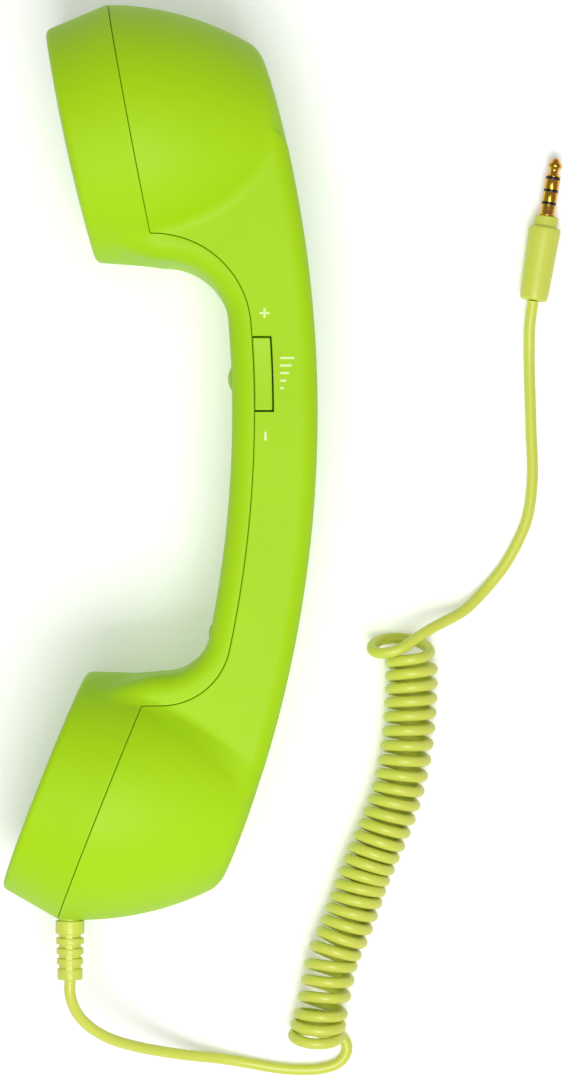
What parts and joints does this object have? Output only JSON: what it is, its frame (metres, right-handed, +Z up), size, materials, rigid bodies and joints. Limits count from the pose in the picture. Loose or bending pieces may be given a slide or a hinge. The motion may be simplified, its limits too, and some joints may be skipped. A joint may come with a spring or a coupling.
{
  "type": "telephone handset for a mobile phone",
  "caption": "Retro telephone handset with a curly cord and a 3.5 mm plug, lying on its side, with a call button and a volume rocker.",
  "frame": {"origin": "under the middle of the handset as it lies on its side, on the surface that it lies on", "axes": "+Y runs along the handset from the mouthpiece to the earpiece, +X from the two faces to the back, +Z up"},
  "size_m": [0.1299, 0.2493, 0.0603],
  "materials": {
    "lime_shell": "soft matte",
    "lime_button": "soft matte",
    "lime_cord": "satin",
    "gold": "polished",
    "black_plastic": "matte",
    "steel": "satin",
    "black_rubber": "matte",
    "green_board": "satin",
    "paper_cone": "matte",
    "copper": "satin",
    "red_wire": "satin",
    "yellow_wire": "satin",
    "white_wire": "satin"
  },
  "bodies": {
    "root": {"rear_shell": "lime_shell", "front_shell": "lime_shell", "earpiece_grille": "lime_shell", "mouthpiece_grille": "lime_shell", "speaker_gasket": "black_rubber", "speaker_frame": "steel", "speaker_magnet": "steel", "speaker_diaphragm": "paper_cone", "voice_coil": "copper", "microphone_boot": "black_rubber", "microphone_capsule": "steel", "circuit_board": "green_board", "board_screws": "steel", "volume_switches": "black_plastic", "call_switch": "black_plastic", "rocker_pin": "steel", "ballast_weight": "steel", "shell_screw": "steel", "screw_plug": "lime_button", "speaker_wires": "red_wire", "microphone_wires": "yellow_wire", "cord_cores": "white_wire", "strain_relief": "lime_cord", "lead_cord": "lime_cord", "curly_cord": "lime_cord", "plug_lead": "lime_cord", "plug_housing": "lime_cord", "plug_sleeve": "gold", "plug_second_ring": "gold", "plug_first_ring": "gold", "plug_tip": "gold", "plug_insulators": "black_plastic"},
    "rocker": {"volume_rocker": "lime_button"},
    "button": {"call_button": "lime_button"}
  },
  "joints": [
    {"name": "volume_rock", "type": "hinge", "parent": "root", "child": "rocker", "pos_m": [0.0234, 0.0195, 0.0445], "axis": [1, 0, 0], "range_deg": [-3.5, 3.5], "stiffness_Nm_per_rad": 0.15},
    {"name": "call_press", "type": "slide", "parent": "root", "child": "button", "axis": [1, 0, 0], "range_m": [0, 0.0006], "stiffness_N_per_m": 2000}
  ]
}
